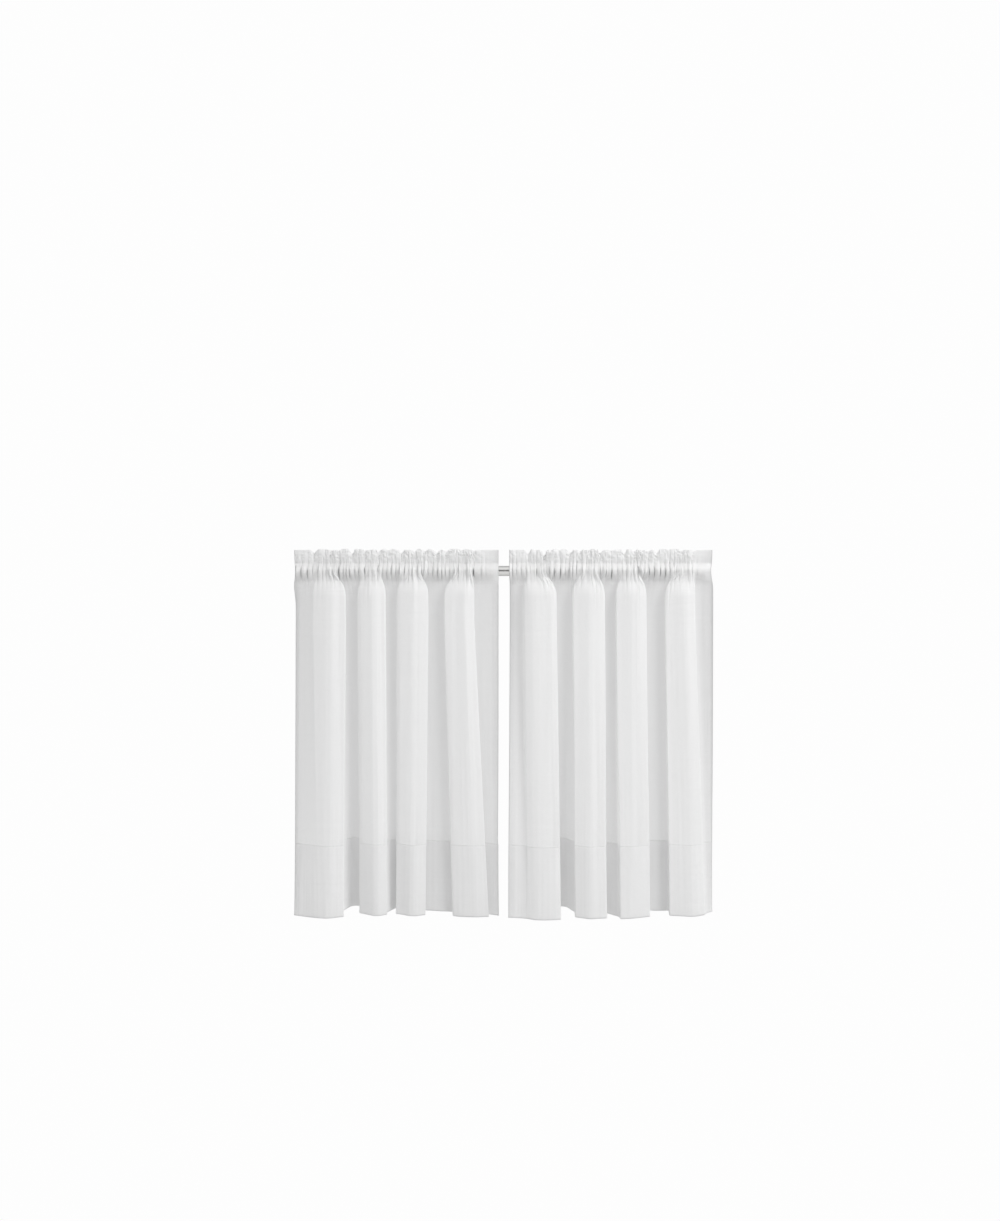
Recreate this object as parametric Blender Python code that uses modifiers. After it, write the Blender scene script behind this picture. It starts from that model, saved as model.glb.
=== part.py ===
"""Cafe curtain: two gathered rod-pocket tiers of white voile on one round rod.

Metres, +Z up. The origin is on the rod's axis, half way along it. +X runs along the rod to the
right of someone in the room, and -Y faces the room.
"""

from collections import namedtuple
import math

import bmesh
import bpy
import numpy as np

MM = 0.001

# The rod
ROD_DIAMETER = 25 * MM
ROD_LENGTH = 1034 * MM
ROD_SIDES = 48
ROD_EDGE_ANGLE = math.radians(40)  # its ends' edges stay sharp past this

# One tier's cloth. Heights are above (+) or below (-) the rod's axis.
CLOTH_THICKNESS = 1.0 * MM
SEAM_SPACING = 2.4 * MM  # between the middles of two layers that are sewn together
HEADING_TOP = 52 * MM
HEADING_SEAM = 20 * MM
POCKET_SEAM = -25 * MM
HEM_EDGE = -855 * MM
POCKET_DRAWN_IN = 0.009  # how much nearer the middle of the rod the bulging pocket lies

# The pocket in section, where its innermost gathers pass the rod
SHOULDER_HEIGHT = 9 * MM
SHOULDER_STAND = ROD_DIAMETER / 2 + 0.3 * MM
BELLY_HEIGHT = -7 * MM
BELLY_STAND = ROD_DIAMETER / 2 + 1.7 * MM

# Gathers of the heading and the pocket
GATHERS = 22
COLUMNS_PER_GATHER = 4
GATHER_DEPTH = 6 * MM  # crest to trough
GATHER_STRAY = 0.9  # how far a gather strays, in radians of its wave
STRAY_WAVES = 3.1  # across one tier

# The heading
HEADING_LEAN = 5 * MM  # how far its top leans out into the room
HEADING_RISE = 2.5 * MM  # how far its top edge stands higher here and there
RISES = 5.3  # of them, across one tier
FIRST_RISE = 0.2  # how much of one has passed at the left edge
NOTCH_REACH = 11 * MM  # how far a puff's shoulder comes up out of a notch, along the rod
NOTCH_SHARPNESS = 1.8

# The pleats below the pocket
EASING_STEPS = 9
FOLD_RADIUS = 11 * MM  # along the cloth, either side of a turn
GATHER_SPREAD = 130 * MM  # along the cloth, over which a pleat is shared out along the rod
FOLDS_FULL = -120 * MM  # height at which the pleats have their full depth

# Each turn of the cloth from left to right, in mm: where it lies across and how far behind the
# rod's axis (- is towards the room), just below the pocket and at the bottom hem.
Turn = namedtuple("Turn", "place top_x top_y hem_x hem_y")

LEFT_TURNS = [
    Turn("outer edge", -526, 29, -519, -13),
    Turn("edge strip", -477, -6, -474, -25),
    Turn("crown 1 left", -474, -12, -456, -29),
    Turn("crown 1", -428, -25, -434, -31),
    Turn("crown 1 right", -389, -17, -393, -21),
    Turn("recess 1 left", -416, 18, -402, 10),
    Turn("recess 1", -386, 16, -384, 41),
    Turn("recess 1 right", -356, 12, -358, 38),
    Turn("crown 2 left", -363, -13, -360, -2),
    Turn("crown 2", -320, -26, -316, -21),
    Turn("crown 2 right", -289, -17, -288, -10),
    Turn("recess 2 left", -310, 16, -295, -3),
    Turn("recess 2 right", -258, 11, -264, 34),
    Turn("crown 3 left", -265, -14, -268, -6),
    Turn("crown 3", -218, -28, -227, -21),
    Turn("crown 3 right", -184, -19, -193, -10),
    Turn("recess 3 left", -218, 24, -224, 17),
    Turn("recess 3", -166, 10, -164, 11),
    Turn("recess 3 right", -128, 7, -122, 8),
    Turn("crown 4 left", -148, -17, -126, -14),
    Turn("crown 4 dip", -118, -20, -104, -21),
    Turn("crown 4", -94, -28, -70, -25),
    Turn("crown 4 right", -71, -21, -34, -21),
    Turn("recess 4", -92, 16, -58, 0),
    Turn("inner edge", -12, -13, -12, -14),
]

RIGHT_TURNS = [
    Turn("inner edge", 17, 14, 13, -29),
    Turn("recess 0", 56, 4, 52, -31),
    Turn("crown 1 left", 50, -16, 60, -34),
    Turn("crown 1 first crest", 76, -27, 80, -41),
    Turn("crown 1 dip", 96, -25, 98, -41),
    Turn("crown 1 second crest", 115, -28, 118, -40),
    Turn("crown 1 right", 133, -20, 143, -37),
    Turn("recess 1 left", 112, 24, 130, 30),
    Turn("recess 1", 150, 13, 158, 36),
    Turn("recess 1 right", 178, 10, 179, 4),
    Turn("crown 2 left", 171, -14, 178, -23),
    Turn("crown 2", 218, -27, 212, -35),
    Turn("crown 2 right", 253, -18, 257, -28),
    Turn("recess 2 left", 226, 17, 244, 10),
    Turn("recess 2 right", 286, 9, 285, -18),
    Turn("crown 3 left", 278, -14, 289, -33),
    Turn("crown 3", 324, -27, 322, -30),
    Turn("crown 3 right", 356, -18, 364, -20),
    Turn("recess 3 left", 332, 25, 338, 20),
    Turn("recess 3", 382, 12, 388, 10),
    Turn("recess 3 right", 412, 8, 415, 12),
    Turn("crown 4 left", 401, -15, 412, -17),
    Turn("crown 4", 450, -27, 472, -20),
    Turn("crown 4 right", 478, -19, 501, -10),
    Turn("recess 4", 458, 16, 504, -4),
    Turn("outer edge", 521, -12, 524, 7),
]

# The notches in the heading's top edge, between its puffs: where along the rod and how deep, in mm
Notch = namedtuple("Notch", "across deep")
LEFT_NOTCHES = [
    Notch(-471, 11), Notch(-430, 3), Notch(-410, 4), Notch(-377, 13), Notch(-343, 4),
    Notch(-310, 9), Notch(-286, 4), Notch(-254, 11), Notch(-221, 7), Notch(-196, 8),
    Notch(-165, 9), Notch(-142, 7), Notch(-104, 4), Notch(-72, 3),
]
RIGHT_NOTCHES = [
    Notch(62, 11), Notch(84, 4), Notch(102, 16), Notch(117, 8), Notch(141, 4), Notch(167, 12),
    Notch(191, 5), Notch(214, 3), Notch(243, 12), Notch(271, 3), Notch(302, 12), Notch(327, 7),
    Notch(345, 4), Notch(363, 7), Notch(383, 11), Notch(413, 3), Notch(445, 4), Notch(475, 4),
]

# Each tier, with the places of its heading's two side edges along the rod, in mm
Tier = namedtuple("Tier", "name left_edge right_edge turns notches")

TIERS = [
    Tier("left_panel", -521, -12, LEFT_TURNS, LEFT_NOTCHES),
    Tier("right_panel", 16, 521, RIGHT_TURNS, RIGHT_NOTCHES),
]

# The cloth's path in section, from the hem up the front, over the top and down the back.
#   stand: how far the cloth's middle lies from the rod's plane, + towards the room
#   clear: 1 where the gathers only stand off further, 0 where they swing about that place
#   gather, fold: share of the gathers' and of the pleats' full depth
Level = namedtuple("Level", "height stand clear gather fold")

PLEATS = [
    Level(HEM_EDGE, 0, 0, 0.0, 1.0),
    Level(-560 * MM, 0, 0, 0.0, 1.0),
    Level(-320 * MM, 0, 0, 0.0, 1.0),
    Level(FOLDS_FULL, 0, 0, 0.1, 1.0),
    Level(-75 * MM, 0, 0, 0.3, 0.9),
    Level(-45 * MM, 0, 0, 0.7, 0.55),
]
POCKET_AND_HEADING = [
    Level(POCKET_SEAM, SEAM_SPACING / 2, 0, 1.0, 0.1),
    Level(BELLY_HEIGHT, BELLY_STAND, 1, 1.0, 0.0),
    Level(SHOULDER_HEIGHT, SHOULDER_STAND, 1, 1.0, 0.0),
    Level(HEADING_SEAM, SEAM_SPACING / 2, 0, 1.0, 0.0),
    Level(HEADING_TOP, SEAM_SPACING / 2, 0, 1.2, 0.0),
]
TOP_FOLD = Level(HEADING_TOP + SEAM_SPACING / 2, 0, 0, 1.2, 0.0)
BACK = [level._replace(stand=-level.stand) for level in reversed(POCKET_AND_HEADING)]
LEVELS = PLEATS + POCKET_AND_HEADING + [TOP_FOLD] + BACK


def clear_scene():
    for item in list(bpy.data.objects):
        bpy.data.objects.remove(item, do_unlink=True)


def make_material(name, colour, roughness, metallic, alpha=1.0):
    material = bpy.data.materials.new(name)
    material.use_nodes = True
    shader = material.node_tree.nodes["Principled BSDF"]
    shader.inputs["Base Color"].default_value = (*colour, 1.0)
    shader.inputs["Roughness"].default_value = roughness
    shader.inputs["Metallic"].default_value = metallic
    shader.inputs["Alpha"].default_value = alpha
    return material


def lengths_along(turns):
    """Length of cloth from the first turn to each one, at the hem."""
    steps = [math.hypot(b.hem_x - a.hem_x, b.hem_y - a.hem_y) for a, b in zip(turns, turns[1:])]
    return np.cumsum([0.0] + steps) * MM


def rounded(along, lengths, values, radius):
    """The line through values, with each corner eased over a radius along the cloth."""
    offsets = np.linspace(-1, 1, EASING_STEPS)
    shares = np.cos(offsets * math.pi / 2) ** 2
    shares /= shares.sum()
    first, last = lengths[0], lengths[-1]
    eased = 0
    for offset, share in zip(offsets, shares):
        place = along + offset * radius
        inside = np.interp(place, lengths, values)
        before = np.minimum(place - first, 0) * (values[1] - values[0]) / (lengths[1] - first)
        after = np.maximum(place - last, 0) * (values[-1] - values[-2]) / (last - lengths[-2])
        eased = eased + share * (inside + before + after)
    return eased


def pleats_at(turns, height, share):
    """Where the pleated cloth lies in plan at one height, for each share of its width."""
    lengths = lengths_along(turns)
    down = min(max((FOLDS_FULL - height) / (FOLDS_FULL - HEM_EDGE), 0), 1)
    across = np.array([turn.top_x + down * (turn.hem_x - turn.top_x) for turn in turns]) * MM
    behind = np.array([turn.top_y + down * (turn.hem_y - turn.top_y) for turn in turns]) * MM
    along = share * lengths[-1]
    x = rounded(along, lengths, across, FOLD_RADIUS)
    y = rounded(along, lengths, behind, FOLD_RADIUS)
    return x, y


def gathered_across(tier, share):
    """Where each share of the width sits along the rod, closer together above a crown."""
    lengths = lengths_along(tier.turns)
    across = np.maximum.accumulate([turn.top_x for turn in tier.turns])
    x = rounded(share * lengths[-1], lengths, across, GATHER_SPREAD)
    place = (x - x[0]) / (x[-1] - x[0])
    return (tier.left_edge + place * (tier.right_edge - tier.left_edge)) * MM


def notched(tier, x):
    """How far down the heading's top edge dips, at each place along the rod."""
    dip = 0 * x
    for notch in tier.notches:
        near = np.clip(1 - np.abs(x - notch.across * MM) / NOTCH_REACH, 0, 1)
        dip = np.maximum(dip, notch.deep * MM * near**NOTCH_SHARPNESS)
    return dip


def cloth_row(tier, level, share):
    """Points of the cloth at one level of its path."""
    turn = 2 * math.pi * share
    wave = GATHERS * turn + GATHER_STRAY * np.sin(STRAY_WAVES * turn)
    swing = -GATHER_DEPTH / 2 * level.gather * np.cos(wave)
    stand_off = math.copysign(GATHER_DEPTH / 2, level.stand) * level.clear

    gathered_x = gathered_across(tier, share) * (1 - POCKET_DRAWN_IN * level.clear)
    pleat_x, pleat_y = pleats_at(tier.turns, level.height, share)
    x = gathered_x + level.fold * (pleat_x - gathered_x)
    above = max(level.height - HEADING_SEAM, 0) / (HEADING_TOP - HEADING_SEAM)
    y = level.fold * pleat_y - level.stand - stand_off + swing - HEADING_LEAN * above
    z = level.height + 0 * share
    if level.height >= HEADING_TOP:
        rise = np.abs(np.sin(math.pi * (RISES * share + FIRST_RISE)))
        z = z + HEADING_RISE * rise - notched(tier, gathered_x)
    return np.stack([x, y, z], axis=1)


def make_panel(tier, material, collection, parent):
    columns = GATHERS * COLUMNS_PER_GATHER
    share = np.linspace(0, 1, columns + 1)
    rows = [cloth_row(tier, level, share) for level in LEVELS]

    cloth = bmesh.new()
    bmesh.ops.create_grid(cloth, x_segments=columns, y_segments=len(LEVELS) - 1, size=0.5)
    for point in cloth.verts:
        column = round((point.co.x + 0.5) * columns)
        row = round((point.co.y + 0.5) * (len(LEVELS) - 1))
        point.co = rows[row][column]
    mesh = bpy.data.meshes.new(tier.name)
    cloth.to_mesh(mesh)
    cloth.free()
    mesh.shade_smooth()
    mesh.materials.append(material)

    panel = bpy.data.objects.new(tier.name, mesh)
    collection.objects.link(panel)
    panel.parent = parent
    thickness = panel.modifiers.new("cloth thickness", "SOLIDIFY")
    thickness.thickness = CLOTH_THICKNESS
    thickness.offset = 0
    thickness.use_even_offset = True
    thickness.use_quality_normals = True
    return panel


def make_rod(material, collection, parent):
    bpy.ops.mesh.primitive_cylinder_add(
        vertices=ROD_SIDES,
        radius=ROD_DIAMETER / 2,
        depth=ROD_LENGTH,
        rotation=(0, math.pi / 2, 0),
    )
    rod = bpy.context.object
    rod.name = "rod"
    rod.data.name = "rod"
    rod.data.materials.append(material)
    rod.data.shade_smooth()
    rod.data.set_sharp_from_angle(angle=ROD_EDGE_ANGLE)
    for holder in list(rod.users_collection):
        holder.objects.unlink(rod)
    collection.objects.link(rod)
    rod.parent = parent
    return rod


def main():
    clear_scene()
    collection = bpy.data.collections.new("cafe_curtain")
    bpy.context.scene.collection.children.link(collection)
    holder = bpy.data.objects.new("rod_axis", None)
    collection.objects.link(holder)

    nickel = make_material("satin_nickel", (0.62, 0.60, 0.58), 0.32, 1.0)
    make_rod(nickel, collection, holder)
    for tier in TIERS:
        voile = make_material(f"{tier.name}_voile", (0.92, 0.92, 0.91), 0.8, 0.0, alpha=0.85)
        make_panel(tier, voile, collection, holder)


main()
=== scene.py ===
"""Looks of the cafe curtain: two voile tiers shirred on a satin nickel rod. Metres, +Z up."""

from collections import namedtuple
import math

import bpy
import numpy as np
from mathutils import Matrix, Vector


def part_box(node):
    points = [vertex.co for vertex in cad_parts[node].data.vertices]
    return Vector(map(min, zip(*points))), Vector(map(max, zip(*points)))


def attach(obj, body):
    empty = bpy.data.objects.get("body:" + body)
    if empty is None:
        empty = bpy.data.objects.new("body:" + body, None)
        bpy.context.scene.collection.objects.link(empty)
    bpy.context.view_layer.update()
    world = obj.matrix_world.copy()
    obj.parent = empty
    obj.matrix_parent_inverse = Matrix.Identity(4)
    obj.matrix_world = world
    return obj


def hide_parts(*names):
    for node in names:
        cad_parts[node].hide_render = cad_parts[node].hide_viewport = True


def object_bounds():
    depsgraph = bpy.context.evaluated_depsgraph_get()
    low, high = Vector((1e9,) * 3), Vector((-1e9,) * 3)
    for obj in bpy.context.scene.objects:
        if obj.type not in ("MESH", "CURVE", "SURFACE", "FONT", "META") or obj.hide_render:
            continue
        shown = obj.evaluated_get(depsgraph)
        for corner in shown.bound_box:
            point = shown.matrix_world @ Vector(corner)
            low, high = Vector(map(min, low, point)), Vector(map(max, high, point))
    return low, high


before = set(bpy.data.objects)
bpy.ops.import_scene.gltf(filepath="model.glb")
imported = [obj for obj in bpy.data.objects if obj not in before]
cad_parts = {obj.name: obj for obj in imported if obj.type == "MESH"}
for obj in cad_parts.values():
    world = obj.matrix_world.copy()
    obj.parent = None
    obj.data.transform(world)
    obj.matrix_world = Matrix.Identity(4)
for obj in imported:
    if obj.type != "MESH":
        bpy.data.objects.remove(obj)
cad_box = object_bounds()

# ================================================================================================
# The rod
# A drawn steel tube, 25 mm across, plated with nickel and brushed along its length to a satin
# finish. It runs through the pockets of both tiers and is held at its two ends.
# ================================================================================================
MM = 0.001

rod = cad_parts["rod"]
rod_low, rod_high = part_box("rod")
ROD_RADIUS = (rod_high.z - rod_low.z) / 2

NICKEL = (0.84, 0.835, 0.825, 1)
BRUSHING = (14, 1500, 1500)  # streaks to the metre, along the rod and across it
BRUSHING_DEPTH = 0.05 * MM
BRUSHING_STRENGTH = 0.25
HANDLING = (23, 23, 23)  # rubbed patches to the metre
LEAST_RUBBED, MOST_RUBBED = 0.6, 1.4  # streaks and patches added together
BRIGHT, DULL = 0.16, 0.30  # the roughness there


def new_material(name):
    """A material with its node tree, its Principled shader and its output."""
    material = bpy.data.materials.new(name)
    material.use_nodes = True
    tree = material.node_tree
    return material, tree, tree.nodes["Principled BSDF"], tree.nodes["Material Output"]


def feed(tree, node, inputs):
    """Set each input of a node, by socket name, to its value or link it to its socket."""
    for socket, value in inputs.items():
        if isinstance(value, bpy.types.NodeSocket):
            tree.links.new(value, node.inputs[socket])
        else:
            node.inputs[socket].default_value = value


def add_node(tree, kind, inputs=None, **settings):
    """A new node of that kind, with its settings and its inputs."""
    node = tree.nodes.new(kind)
    for setting, value in settings.items():
        setattr(node, setting, value)
    feed(tree, node, inputs or {})
    return node


def maths(tree, operation, *values, **settings):
    """The result of a Math node on some values, each a number or a socket."""
    inputs = dict(enumerate(values))
    return add_node(tree, "ShaderNodeMath", inputs, operation=operation, **settings).outputs[0]


def ranged(tree, value, low, high, to_low=0.0, to_high=1.0, **settings):
    """A value from low to high as one from to_low to to_high, held at both ends."""
    return add_node(tree, "ShaderNodeMapRange", {
        "Value": value, "From Min": low, "From Max": high, "To Min": to_low, "To Max": to_high},
        **settings).outputs["Result"]


def make_grain_group():
    """A shader group that gives noise from 0 to 1, stretched along each axis."""
    group = bpy.data.node_groups.new("stretched grain", "ShaderNodeTree")
    group.interface.new_socket("Place", in_out="INPUT", socket_type="NodeSocketVector")
    group.interface.new_socket("Spots to the Metre", in_out="INPUT", socket_type="NodeSocketVector")
    group.interface.new_socket("Detail", in_out="INPUT", socket_type="NodeSocketFloat")
    group.interface.new_socket("Grain", in_out="OUTPUT", socket_type="NodeSocketFloat")
    given = group.nodes.new("NodeGroupInput").outputs
    stretched = add_node(group, "ShaderNodeMapping", {
        "Vector": given["Place"], "Scale": given["Spots to the Metre"]}).outputs["Vector"]
    spots = add_node(group, "ShaderNodeTexNoise", {
        "Vector": stretched, "Scale": 1.0, "Detail": given["Detail"]}).outputs["Fac"]
    feed(group, group.nodes.new("NodeGroupOutput"), {"Grain": spots})
    return group


grain_group = make_grain_group()


def grain(tree, place, spots, detail):
    """The stretched grain of a material, with so many spots to the metre along each axis."""
    return add_node(tree, "ShaderNodeGroup", {
        "Place": place, "Spots to the Metre": spots, "Detail": detail},
        node_tree=grain_group).outputs["Grain"]


nickel, tree, shader, _ = new_material("satin_nickel")
place = add_node(tree, "ShaderNodeTexCoord").outputs["Object"]
streaks = grain(tree, place, BRUSHING, detail=3.0)
patches = grain(tree, place, HANDLING, detail=4.0)
rubbed = maths(tree, "ADD", streaks, patches)
roughness = ranged(tree, rubbed, LEAST_RUBBED, MOST_RUBBED, BRIGHT, DULL)
bump = add_node(tree, "ShaderNodeBump", {
    "Height": streaks, "Strength": BRUSHING_STRENGTH, "Distance": BRUSHING_DEPTH})
feed(tree, shader, {"Base Color": NICKEL, "Metallic": 1.0, "Roughness": roughness,
                    "Normal": bump.outputs["Normal"]})
rod.data.materials.clear()
rod.data.materials.append(nickel)

# ================================================================================================
# The two tiers
# Each is one cut of white polyester voile, hemmed at both sides and deep at its foot. Its head is
# folded back and sewn through twice, which leaves a ruffled heading above a pocket. The pocket is
# pushed together on the rod, and below it the cloth hangs in the pleats that the gathers start.
# ================================================================================================
CUT_WIDTH = 900 * MM
CUT_LENGTH = 1190 * MM

# Heights above the rod's axis
HEADING_TOP = 52 * MM
HEADING_SEAM = 20 * MM
POCKET_SEAM = -25 * MM
PLEATS_FULL = -120 * MM
HEM_SEAM = -678 * MM
HEM_EDGE = -855 * MM

# Each turn of the cloth from left to right, in mm: where it lies across and how far behind the
# rod's axis (- is towards the room), just below the pocket and at the bottom hem.
Turn = namedtuple("Turn", "place top_x top_y hem_x hem_y")

LEFT_TURNS = [
    Turn("outer edge", -526, 29, -519, -13),
    Turn("edge strip", -477, -6, -474, -25),
    Turn("crown 1 left", -474, -12, -456, -29),
    Turn("crown 1", -428, -25, -434, -31),
    Turn("crown 1 right", -389, -17, -393, -21),
    Turn("recess 1 left", -416, 18, -402, 10),
    Turn("recess 1", -386, 16, -384, 41),
    Turn("recess 1 right", -356, 12, -358, 38),
    Turn("crown 2 left", -363, -13, -360, -2),
    Turn("crown 2", -320, -26, -316, -21),
    Turn("crown 2 right", -289, -17, -288, -10),
    Turn("recess 2 left", -310, 16, -295, -3),
    Turn("recess 2 right", -258, 11, -264, 34),
    Turn("crown 3 left", -265, -14, -268, -6),
    Turn("crown 3", -218, -28, -227, -21),
    Turn("crown 3 right", -184, -19, -193, -10),
    Turn("recess 3 left", -218, 24, -224, 17),
    Turn("recess 3", -166, 10, -164, 11),
    Turn("recess 3 right", -128, 7, -122, 8),
    Turn("crown 4 left", -148, -17, -126, -14),
    Turn("crown 4 dip", -118, -20, -104, -21),
    Turn("crown 4", -94, -28, -70, -25),
    Turn("crown 4 right", -71, -21, -34, -21),
    Turn("recess 4", -92, 16, -58, 0),
    Turn("inner edge", -12, -13, -12, -14),
]

RIGHT_TURNS = [
    Turn("inner edge", 17, 14, 13, -29),
    Turn("recess 0", 56, 4, 52, -31),
    Turn("crown 1 left", 50, -16, 60, -34),
    Turn("crown 1 first crest", 76, -27, 80, -41),
    Turn("crown 1 dip", 96, -25, 98, -41),
    Turn("crown 1 second crest", 115, -28, 118, -40),
    Turn("crown 1 right", 133, -20, 143, -37),
    Turn("recess 1 left", 112, 24, 130, 30),
    Turn("recess 1", 150, 13, 158, 36),
    Turn("recess 1 right", 178, 10, 179, 4),
    Turn("crown 2 left", 171, -14, 178, -23),
    Turn("crown 2", 218, -27, 212, -35),
    Turn("crown 2 right", 253, -18, 257, -28),
    Turn("recess 2 left", 226, 17, 244, 10),
    Turn("recess 2 right", 286, 9, 285, -18),
    Turn("crown 3 left", 278, -14, 289, -33),
    Turn("crown 3", 324, -27, 322, -30),
    Turn("crown 3 right", 356, -18, 364, -20),
    Turn("recess 3 left", 332, 25, 338, 20),
    Turn("recess 3", 382, 12, 388, 10),
    Turn("recess 3 right", 412, 8, 415, 12),
    Turn("crown 4 left", 401, -15, 412, -17),
    Turn("crown 4", 450, -27, 472, -20),
    Turn("crown 4 right", 478, -19, 501, -10),
    Turn("recess 4", 458, 16, 504, -4),
    Turn("outer edge", 521, -12, 524, 7),
]

# The notches in the heading's top edge, between its puffs: where along the rod and how deep, in mm
Notch = namedtuple("Notch", "across deep")
LEFT_NOTCHES = [
    Notch(-471, 11), Notch(-430, 3), Notch(-410, 4), Notch(-377, 13), Notch(-343, 4),
    Notch(-310, 9), Notch(-286, 4), Notch(-254, 11), Notch(-221, 7), Notch(-196, 8),
    Notch(-165, 9), Notch(-142, 7), Notch(-104, 4), Notch(-72, 3),
]
RIGHT_NOTCHES = [
    Notch(62, 11), Notch(84, 4), Notch(102, 16), Notch(117, 8), Notch(141, 4), Notch(167, 12),
    Notch(191, 5), Notch(214, 3), Notch(243, 12), Notch(271, 3), Notch(302, 12), Notch(327, 7),
    Notch(345, 4), Notch(363, 7), Notch(383, 11), Notch(413, 3), Notch(445, 4), Notch(475, 4),
]

# Each tier, with the places of its heading's two side edges along the rod, in mm
Tier = namedtuple("Tier", "name left_edge right_edge seed turns notches")
TIERS = [
    Tier("left_tier", -521, -12, 11, LEFT_TURNS, LEFT_NOTCHES),
    Tier("right_tier", 16, 521, 47, RIGHT_TURNS, RIGHT_NOTCHES),
]

# A value that differs between the recesses and the crowns of the pleats
Pleat = namedtuple("Pleat", "recess crown")

# What changes by chance: by how much either way, about how far along the cloth and how far down
# it goes before it turns, and which of the tier's random lines it follows
Drift = namedtuple("Drift", "size along down line")

# The pleats
SHARP_TURN = 5 * MM  # eased along the cloth, either side of a fold's edge
SOFT_TURN = 19 * MM  # and of any other turn
EASING_STEPS = 9
SET_BACK = 5 * MM  # a pleat this far behind the rod's axis is a recess
STOOD_OUT = 15 * MM  # and one this far in front of it is a crown
PLEATS_START = 0 * MM  # the pocket's front turns into pleats from here down
PLEATS_DEEP_IN = Pleat(95 * MM, 61.75 * MM)  # and they have their full depth this far below that
PLEATS_WIDE_IN = 29 * MM  # and two thirds of their width this far below
SEAM_FORWARD = 4 * MM  # how far the pocket's lower seam lies in front of the rod's axis
SLACK_FROM, SLACK_TO = 2 * MM, 50 * MM  # below the axis, where a recess leaves the rod's face
SWAY_ACROSS = Drift(1.6 * MM, 70 * MM, 330 * MM, 7)  # how far a pleat strays on its way down
SWAY_BACK = Drift(1.6 * MM, 70 * MM, 290 * MM, 8)
RIDGES = Drift(0.27 * MM, 8 * MM, 280 * MM, 5)  # which run on down from the gathers
FINE_RIDGES = Drift(0.0945 * MM, 3.6 * MM, 200 * MM, 17)
RIDGES_FULL_IN = 60 * MM  # below the pocket

# The pocket
LAYER_GAP = 2.4 * MM  # between the middles of two layers that are sewn together
ROD_CLEARANCE = 0.5 * MM
POCKET_RADIUS = ROD_RADIUS + ROD_CLEARANCE
POCKET_BACK_CURVE = 1.5  # how soon the pocket's back leaves the line of its lower seam
POCKET_DRAWN_IN = 0.009  # how much nearer the middle of the rod the bulging pocket lies

# How the cloth is shared out along the rod
CROWN_DRAWN_IN = 0.6  # how far a crown's sides are drawn in to its middle on the rod
GATHER_SPREAD = 40 * MM  # along the cloth, over which a pleat is shared out along the rod
EVENLY = 0.35  # how evenly the cloth is shared out along the rod, from 0 to 1
LEAST_GATHERED = 0.8  # how far it is pushed together at the least, from 0 to 1
FLAT_TO, GATHERED_FROM = 5 * MM, 70 * MM  # in from a side edge, which itself lies flat

# The gathers
GATHER_PITCH = 19.5 * MM  # of flat cloth
GATHER_DEPTH = 0.23  # crest to middle, in pitches, where the cloth is pushed fully together
GATHER_BEND = 0.07  # how far a gather's sides bend over, in pitches
GATHER_MEAN = 0.75  # of that depth
GATHER_DRIFT = Drift(0.45, 11 * MM, None, 10)
FULLEST_AT = 5 * MM  # the height at which they are deepest
FULLEST_DRIFT = Drift(6 * MM, 14 * MM, None, 15)
FULLEST_REACH = 19 * MM
LEAST_FULL, MORE_FULL = 0.45, 0.8  # share of the depth far from there, and what is added there
HEADING_FLATTER = 0.45  # how much shallower they are at the heading's top
HEADING_FLATTER_CURVE = 0.7  # below 1, most of that comes low down
LEAN = Drift(10 * MM, 35 * MM, None, 1)  # how far they lean over in the height of the pocket
FINE_LEAN = Drift(4 * MM, 12 * MM, None, 13)
LEAN_LEAST, LEAN_MOST = -0.6, 1.5  # in heights of the pocket
BY_CLOTH = 0.3  # share of their order that follows the cloth, where the rest follows the rod
WAVE_DRIFT = Drift(2.6, 36 * MM, None, 2)  # in radians
CREST_SHARE = 0.9  # of the depth
CREST_CURVE = 0.5  # below 1, crests are broad and the hollows between them narrow
CREST_FLATTER = 0.42  # how much flatter the crests are at the head of a crown
CREST_FLAT_REACH = 20 * MM
CREASES = Drift(0.5, 4.5 * MM, None, 14)  # as a share of the depth

# How the gathers run out below the pocket
RUN_OUT_FROM = -18 * MM  # the height from which they grow shallower
RUN_OUT_LEAST = 8 * MM  # how far down the shortest go
RUN_OUT_MORE = Pleat(24 * MM, 34 * MM)  # and how much further the longest
RUN_OUT_DRIFT = Drift(1, 12 * MM, None, 0)
RUN_OUT_CURVE = 1.2  # above 1, they start to do so slowly

# The cloth that is pinched between two gathers, where little light comes through, and which is
# painted darker there as painted shade in the hollows
PINCHED_DEPTH = 2.5 * MM  # of a gather that is pinched fully
PINCH_THINNESS = Pleat(3, 6)  # the higher, the narrower it is
PINCHED_AT = Pleat(-4 * MM, 2 * MM)  # the height of the tightest pinches
PINCH_DRIFT = Drift(6 * MM, 13 * MM, None, 16)
PINCH_REACH = Pleat(13 * MM, 11 * MM)
PINCH_END = 4  # how suddenly a pinch ends
SHADE_STREAK = 0.55  # how much of a pinch's painted shade runs on down over the head of a crown, as dark streaks
STREAK_AT = -17 * MM
STREAK_REACH = 9 * MM

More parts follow.
